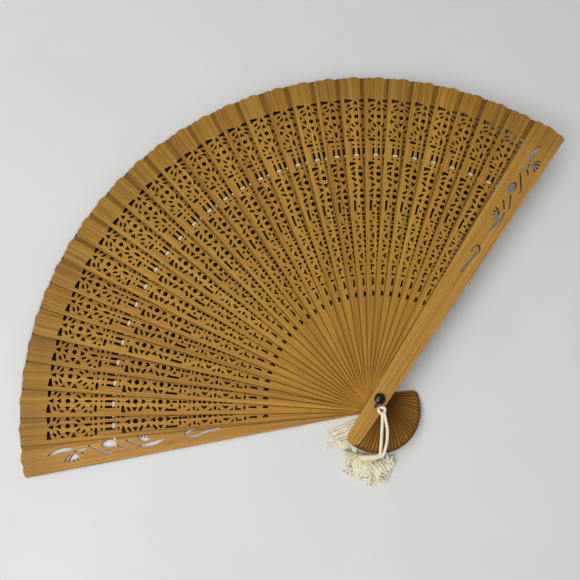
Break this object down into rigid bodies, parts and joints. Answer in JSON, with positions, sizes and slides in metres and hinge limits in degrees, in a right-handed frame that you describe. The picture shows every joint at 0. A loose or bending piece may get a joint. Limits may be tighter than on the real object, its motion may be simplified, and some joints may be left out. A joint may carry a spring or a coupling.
{
  "type": "folding fan",
  "caption": "Pierced wooden brise folding fan: thin fretted sticks between two carved guards on a rivet, threaded with a ribbon, with a cord and tassel at the pivot.",
  "frame": {"origin": "on the rivet's axis, on the flat underside of the rear guard that the fan rests on", "axes": "+Z along the rivet, away from the resting face; +Y up the middle of the open fan; +X towards the front guard's side"},
  "size_m": [0.3235, 0.2124, 0.0284],
  "materials": {
    "guard_wood": "oiled sandalwood, straight grain, satin",
    "stick_wood": "thin sawn sandalwood, straight fine grain, satin",
    "dark_metal": "blackened rivet, glossy and slightly worn",
    "bright_metal": "tarnished steel wire",
    "ribbon": "narrow woven satin ribbon, cream",
    "cord": "soft twisted rayon cord and fringe, cream"
  },
  "bodies": {
    "rear_guard": {"rear_guard": "guard_wood", "rivet": "dark_metal", "rear_washer": "dark_metal", "ribbon": "ribbon"},
    "front_guard": {"front_guard": "guard_wood"},
    "tassel": {"tassel_eyelet": "bright_metal", "tassel_cord": "cord", "tassel_knot": "cord", "tassel_fringe": "cord"},
    "stick_01": {"stick_01": "stick_wood"},
    "stick_02": {"stick_02": "stick_wood"},
    "stick_03": {"stick_03": "stick_wood"},
    "stick_04": {"stick_04": "stick_wood"},
    "stick_05": {"stick_05": "stick_wood"},
    "stick_06": {"stick_06": "stick_wood"},
    "stick_07": {"stick_07": "stick_wood"},
    "stick_08": {"stick_08": "stick_wood"},
    "stick_09": {"stick_09": "stick_wood"},
    "stick_10": {"stick_10": "stick_wood"},
    "stick_11": {"stick_11": "stick_wood"},
    "stick_12": {"stick_12": "stick_wood"},
    "stick_13": {"stick_13": "stick_wood"},
    "stick_14": {"stick_14": "stick_wood"},
    "stick_15": {"stick_15": "stick_wood"},
    "stick_16": {"stick_16": "stick_wood"},
    "stick_17": {"stick_17": "stick_wood"},
    "stick_18": {"stick_18": "stick_wood"},
    "stick_19": {"stick_19": "stick_wood"},
    "stick_20": {"stick_20": "stick_wood"},
    "stick_21": {"stick_21": "stick_wood"},
    "stick_22": {"stick_22": "stick_wood"},
    "stick_23": {"stick_23": "stick_wood"},
    "stick_24": {"stick_24": "stick_wood"},
    "stick_25": {"stick_25": "stick_wood"},
    "stick_26": {"stick_26": "stick_wood"},
    "stick_27": {"stick_27": "stick_wood"},
    "stick_28": {"stick_28": "stick_wood"}
  },
  "joints": [
    {"name": "fan_fold", "type": "hinge", "parent": "rear_guard", "child": "front_guard", "pos_m": [0, 0, 0.0252], "axis": [0, 0, 1], "range_deg": [0, 133.3], "deforming": ["ribbon"]},
    {"name": "stick_01_swing", "type": "hinge", "parent": "rear_guard", "child": "stick_01", "pos_m": [0, 0, 0.00206], "axis": [0, 0, 1], "range_deg": [0, 4.87]},
    {"name": "stick_02_swing", "type": "hinge", "parent": "rear_guard", "child": "stick_02", "pos_m": [0, 0, 0.00287], "axis": [0, 0, 1], "range_deg": [0, 9.5]},
    {"name": "stick_03_swing", "type": "hinge", "parent": "rear_guard", "child": "stick_03", "pos_m": [0, 0, 0.00368], "axis": [0, 0, 1], "range_deg": [0, 14.1]},
    {"name": "stick_04_swing", "type": "hinge", "parent": "rear_guard", "child": "stick_04", "pos_m": [0, 0, 0.00449], "axis": [0, 0, 1], "range_deg": [0, 18.66]},
    {"name": "stick_05_swing", "type": "hinge", "parent": "rear_guard", "child": "stick_05", "pos_m": [0, 0, 0.0053], "axis": [0, 0, 1], "range_deg": [0, 23.19]},
    {"name": "stick_06_swing", "type": "hinge", "parent": "rear_guard", "child": "stick_06", "pos_m": [0, 0, 0.00611], "axis": [0, 0, 1], "range_deg": [0, 27.69]},
    {"name": "stick_07_swing", "type": "hinge", "parent": "rear_guard", "child": "stick_07", "pos_m": [0, 0, 0.00692], "axis": [0, 0, 1], "range_deg": [0, 32.19]},
    {"name": "stick_08_swing", "type": "hinge", "parent": "rear_guard", "child": "stick_08", "pos_m": [0, 0, 0.00773], "axis": [0, 0, 1], "range_deg": [0, 36.68]},
    {"name": "stick_09_swing", "type": "hinge", "parent": "rear_guard", "child": "stick_09", "pos_m": [0, 0, 0.00854], "axis": [0, 0, 1], "range_deg": [0, 41.19]},
    {"name": "stick_10_swing", "type": "hinge", "parent": "rear_guard", "child": "stick_10", "pos_m": [0, 0, 0.00935], "axis": [0, 0, 1], "range_deg": [0, 45.72]},
    {"name": "stick_11_swing", "type": "hinge", "parent": "rear_guard", "child": "stick_11", "pos_m": [0, 0, 0.01016], "axis": [0, 0, 1], "range_deg": [0, 50.28]},
    {"name": "stick_12_swing", "type": "hinge", "parent": "rear_guard", "child": "stick_12", "pos_m": [0, 0, 0.01097], "axis": [0, 0, 1], "range_deg": [0, 54.87]},
    {"name": "stick_13_swing", "type": "hinge", "parent": "rear_guard", "child": "stick_13", "pos_m": [0, 0, 0.01178], "axis": [0, 0, 1], "range_deg": [0, 59.51]},
    {"name": "stick_14_swing", "type": "hinge", "parent": "rear_guard", "child": "stick_14", "pos_m": [0, 0, 0.01259], "axis": [0, 0, 1], "range_deg": [0, 64.17]},
    {"name": "stick_15_swing", "type": "hinge", "parent": "rear_guard", "child": "stick_15", "pos_m": [0, 0, 0.0134], "axis": [0, 0, 1], "range_deg": [0, 68.86]},
    {"name": "stick_16_swing", "type": "hinge", "parent": "rear_guard", "child": "stick_16", "pos_m": [0, 0, 0.01421], "axis": [0, 0, 1], "range_deg": [0, 73.56]},
    {"name": "stick_17_swing", "type": "hinge", "parent": "rear_guard", "child": "stick_17", "pos_m": [0, 0, 0.01502], "axis": [0, 0, 1], "range_deg": [0, 78.25]},
    {"name": "stick_18_swing", "type": "hinge", "parent": "rear_guard", "child": "stick_18", "pos_m": [0, 0, 0.01583], "axis": [0, 0, 1], "range_deg": [0, 82.94]},
    {"name": "stick_19_swing", "type": "hinge", "parent": "rear_guard", "child": "stick_19", "pos_m": [0, 0, 0.01664], "axis": [0, 0, 1], "range_deg": [0, 87.6]},
    {"name": "stick_20_swing", "type": "hinge", "parent": "rear_guard", "child": "stick_20", "pos_m": [0, 0, 0.01745], "axis": [0, 0, 1], "range_deg": [0, 92.24]},
    {"name": "stick_21_swing", "type": "hinge", "parent": "rear_guard", "child": "stick_21", "pos_m": [0, 0, 0.01826], "axis": [0, 0, 1], "range_deg": [0, 96.83]},
    {"name": "stick_22_swing", "type": "hinge", "parent": "rear_guard", "child": "stick_22", "pos_m": [0, 0, 0.01907], "axis": [0, 0, 1], "range_deg": [0, 101.39]},
    {"name": "stick_23_swing", "type": "hinge", "parent": "rear_guard", "child": "stick_23", "pos_m": [0, 0, 0.01988], "axis": [0, 0, 1], "range_deg": [0, 105.92]},
    {"name": "stick_24_swing", "type": "hinge", "parent": "rear_guard", "child": "stick_24", "pos_m": [0, 0, 0.02069], "axis": [0, 0, 1], "range_deg": [0, 110.43]},
    {"name": "stick_25_swing", "type": "hinge", "parent": "rear_guard", "child": "stick_25", "pos_m": [0, 0, 0.0215], "axis": [0, 0, 1], "range_deg": [0, 114.92]},
    {"name": "stick_26_swing", "type": "hinge", "parent": "rear_guard", "child": "stick_26", "pos_m": [0, 0, 0.02231], "axis": [0, 0, 1], "range_deg": [0, 119.42]},
    {"name": "stick_27_swing", "type": "hinge", "parent": "rear_guard", "child": "stick_27", "pos_m": [0, 0, 0.02312], "axis": [0, 0, 1], "range_deg": [0, 123.92]},
    {"name": "stick_28_swing", "type": "hinge", "parent": "rear_guard", "child": "stick_28", "pos_m": [0, 0, 0.02393], "axis": [0, 0, 1], "range_deg": [0, 128.45]},
    {"name": "tassel_swivel", "type": "hinge", "parent": "rear_guard", "child": "tassel", "pos_m": [0, 0, 0.02634], "axis": [0, 0, 1], "range_deg": [0, 60]}
  ],
  "couplings": [
    {"joint": "stick_01_swing", "follows": "fan_fold", "ratio": 0.036432},
    {"joint": "stick_02_swing", "follows": "fan_fold", "ratio": 0.071182},
    {"joint": "stick_03_swing", "follows": "fan_fold", "ratio": 0.10566},
    {"joint": "stick_04_swing", "follows": "fan_fold", "ratio": 0.13988},
    {"joint": "stick_05_swing", "follows": "fan_fold", "ratio": 0.17386},
    {"joint": "stick_06_swing", "follows": "fan_fold", "ratio": 0.20767},
    {"joint": "stick_07_swing", "follows": "fan_fold", "ratio": 0.24138},
    {"joint": "stick_08_swing", "follows": "fan_fold", "ratio": 0.27509},
    {"joint": "stick_09_swing", "follows": "fan_fold", "ratio": 0.3089},
    {"joint": "stick_10_swing", "follows": "fan_fold", "ratio": 0.34288},
    {"joint": "stick_11_swing", "follows": "fan_fold", "ratio": 0.37709},
    {"joint": "stick_12_swing", "follows": "fan_fold", "ratio": 0.41158},
    {"joint": "stick_13_swing", "follows": "fan_fold", "ratio": 0.44633},
    {"joint": "stick_14_swing", "follows": "fan_fold", "ratio": 0.48131},
    {"joint": "stick_15_swing", "follows": "fan_fold", "ratio": 0.51647},
    {"joint": "stick_16_swing", "follows": "fan_fold", "ratio": 0.55172},
    {"joint": "stick_17_swing", "follows": "fan_fold", "ratio": 0.58698},
    {"joint": "stick_18_swing", "follows": "fan_fold", "ratio": 0.62214},
    {"joint": "stick_19_swing", "follows": "fan_fold", "ratio": 0.65712},
    {"joint": "stick_20_swing", "follows": "fan_fold", "ratio": 0.69187},
    {"joint": "stick_21_swing", "follows": "fan_fold", "ratio": 0.72635},
    {"joint": "stick_22_swing", "follows": "fan_fold", "ratio": 0.76057},
    {"joint": "stick_23_swing", "follows": "fan_fold", "ratio": 0.79455},
    {"joint": "stick_24_swing", "follows": "fan_fold", "ratio": 0.82836},
    {"joint": "stick_25_swing", "follows": "fan_fold", "ratio": 0.86207},
    {"joint": "stick_26_swing", "follows": "fan_fold", "ratio": 0.89578},
    {"joint": "stick_27_swing", "follows": "fan_fold", "ratio": 0.92959},
    {"joint": "stick_28_swing", "follows": "fan_fold", "ratio": 0.96357}
  ]
}
